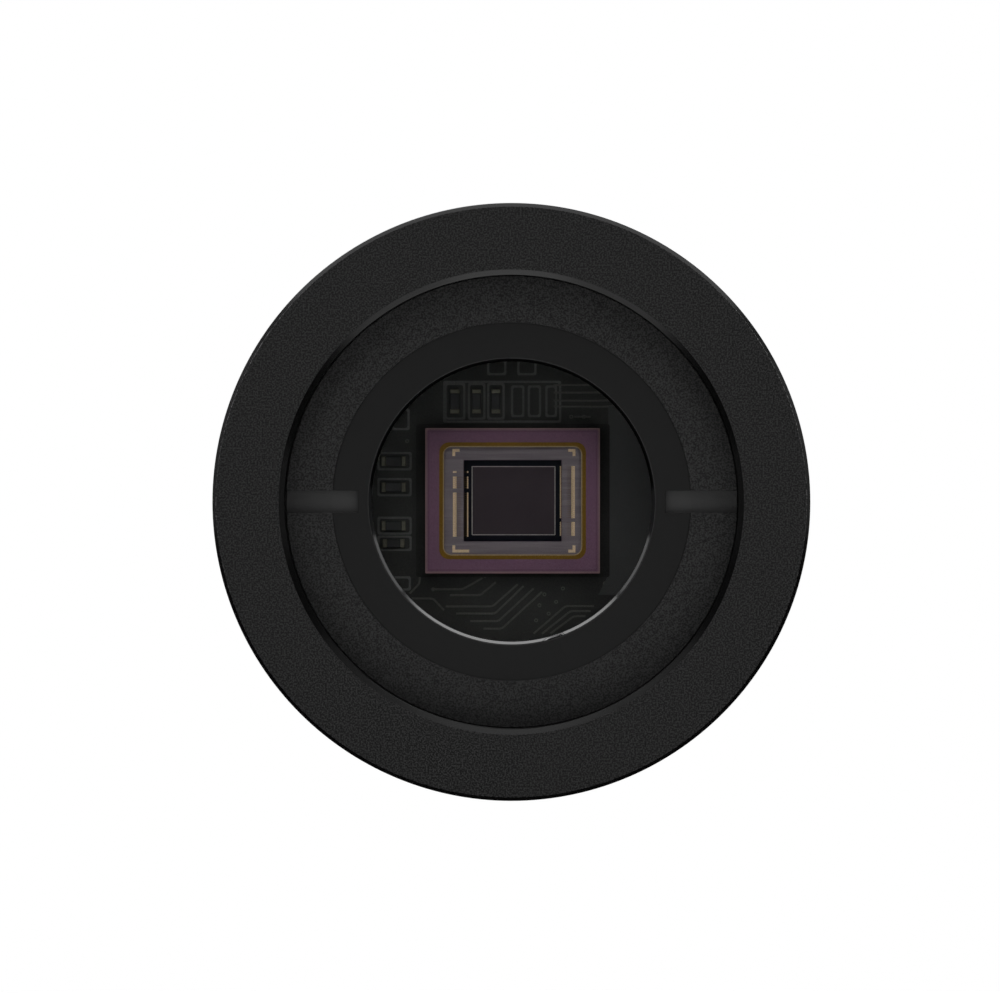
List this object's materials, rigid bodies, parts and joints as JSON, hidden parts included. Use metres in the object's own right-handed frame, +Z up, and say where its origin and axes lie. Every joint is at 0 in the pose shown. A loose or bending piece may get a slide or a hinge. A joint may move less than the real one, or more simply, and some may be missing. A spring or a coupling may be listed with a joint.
{
  "type": "cooled astronomy camera",
  "caption": "Short round cooled camera with a threaded nose, a sealed window over an image sensor, a finned heat sink, a rear fan and rear ports.",
  "frame": {"origin": "on the optical axis, in the plane of the front flange face", "axes": "+Y along the optical axis from the nose to the rear cover, +Z up with the USB port at the top of the rear face, +X to the right seen from the front"},
  "size_m": [0.07, 0.0826, 0.07],
  "materials": {
    "blasted_anodised": "sand-blasted black anodised aluminium",
    "ring_anodised": "black anodised aluminium, blasted face with a smooth turned centre",
    "low_friction_plastic": "natural polymer",
    "coated_glass": "anti-reflection coated optical glass",
    "seal_rubber": "matte rubber",
    "heater_film": "amber film with an etched heating track",
    "package_ceramic": "dark fired ceramic with plated marks",
    "silicon": "polished silicon with a pixel array",
    "gold_plate": "gold plating",
    "lid_glass": "coated cover glass, purple at its border",
    "board_laminate": "matte black solder mask with pale legend",
    "label_film": "matte dark film",
    "component_body": "moulded component body with tinned ends",
    "plated_steel": "bright plated metal",
    "screw_steel": "blackened steel",
    "connector_plastic": "moulded plastic with contacts",
    "copper": "bare copper",
    "foam": "closed-cell foam",
    "white_ceramic": "white alumina",
    "pellet_alloy": "dull semiconductor alloy",
    "desiccant": "pressed drying tablet",
    "bare_aluminium": "machined aluminium",
    "ribbon_film": "amber film with copper tracks",
    "fan_plastic": "moulded black plastic",
    "magnet": "bonded ferrite",
    "blue_plastic": "blue moulded plastic",
    "light_pipe": "frosted clear plastic"
  },
  "bodies": {
    "camera": {"front_housing": "blasted_anodised", "window_glass": "coated_glass", "window_seal": "seal_rubber", "dew_heater": "heater_film", "sensor_package": "package_ceramic", "sensor_die": "silicon", "sensor_lid_seal": "gold_plate", "sensor_lid": "lid_glass", "sensor_board": "board_laminate", "sensor_board_label": "label_film", "sensor_board_capacitors": "component_body", "sensor_board_resistors": "component_body", "board_posts": "plated_steel", "board_spacers": "plated_steel", "stack_screws": "screw_steel", "sensor_board_plug": "connector_plastic", "main_board_socket": "connector_plastic", "main_board": "board_laminate", "processor_chip": "component_body", "memory_chips": "component_body", "power_coils": "component_body", "cold_finger": "copper", "insulation_sleeve": "foam", "clamp_bushes": "low_friction_plastic", "clamp_screws": "screw_steel", "cooler_cold_plate": "white_ceramic", "cooler_middle_plate": "white_ceramic", "cooler_hot_plate": "white_ceramic", "cooler_upper_pellets": "pellet_alloy", "cooler_lower_pellets": "pellet_alloy", "desiccant_tablets": "desiccant", "heat_sink": "bare_aluminium", "chamber_seal": "seal_rubber", "flange_screws": "screw_steel", "feedthrough": "connector_plastic", "link_ribbon": "ribbon_film", "rear_housing": "blasted_anodised", "side_screws": "screw_steel", "link_board": "board_laminate", "link_board_screws": "screw_steel", "fan_frame": "fan_plastic", "fan_bearings": "plated_steel", "fan_stator": "copper", "rear_cover": "blasted_anodised", "cover_screws": "screw_steel", "fan_screws": "screw_steel", "usb_shell": "plated_steel", "usb_tongue": "blue_plastic", "power_jack": "plated_steel", "power_jack_pin": "plated_steel", "filter_wheel_port": "plated_steel", "filter_wheel_contacts": "gold_plate", "status_light": "light_pipe"},
    "slip_washer": {"slip_washer": "low_friction_plastic"},
    "window_ring": {"window_retaining_ring": "ring_anodised"},
    "desiccant_seal": {"desiccant_seal": "seal_rubber"},
    "desiccant_plug": {"desiccant_plug": "ring_anodised"},
    "fan": {"fan_rotor": "fan_plastic", "fan_magnet": "magnet", "fan_shaft": "plated_steel"}
  },
  "joints": [
    {"name": "washer_travel", "type": "slide", "parent": "camera", "child": "slip_washer", "axis": [0, -1, 0], "range_m": [0, 0.00451]},
    {"name": "ring_turn", "type": "hinge", "parent": "slip_washer", "child": "window_ring", "pos_m": [0, 0.0064, 0], "axis": [0, -1, 0], "range_deg": [0, 2160]},
    {"name": "seal_travel", "type": "slide", "parent": "camera", "child": "desiccant_seal", "axis": [1, 0, 0], "range_m": [0, 0.003]},
    {"name": "plug_turn", "type": "hinge", "parent": "desiccant_seal", "child": "desiccant_plug", "pos_m": [0.03306, 0.02975, 0], "axis": [1, 0, 0], "range_deg": [0, 1440.5]},
    {"name": "fan_spin", "type": "hinge", "parent": "camera", "child": "fan", "pos_m": [0, 0.0746, 0], "axis": [0, 1, 0], "continuous": true}
  ],
  "couplings": [
    {"joint": "washer_travel", "follows": "ring_turn", "m_per_rad": 0.00011937},
    {"joint": "plug_turn", "follows": "seal_travel", "rad_per_m": 8377.6}
  ]
}
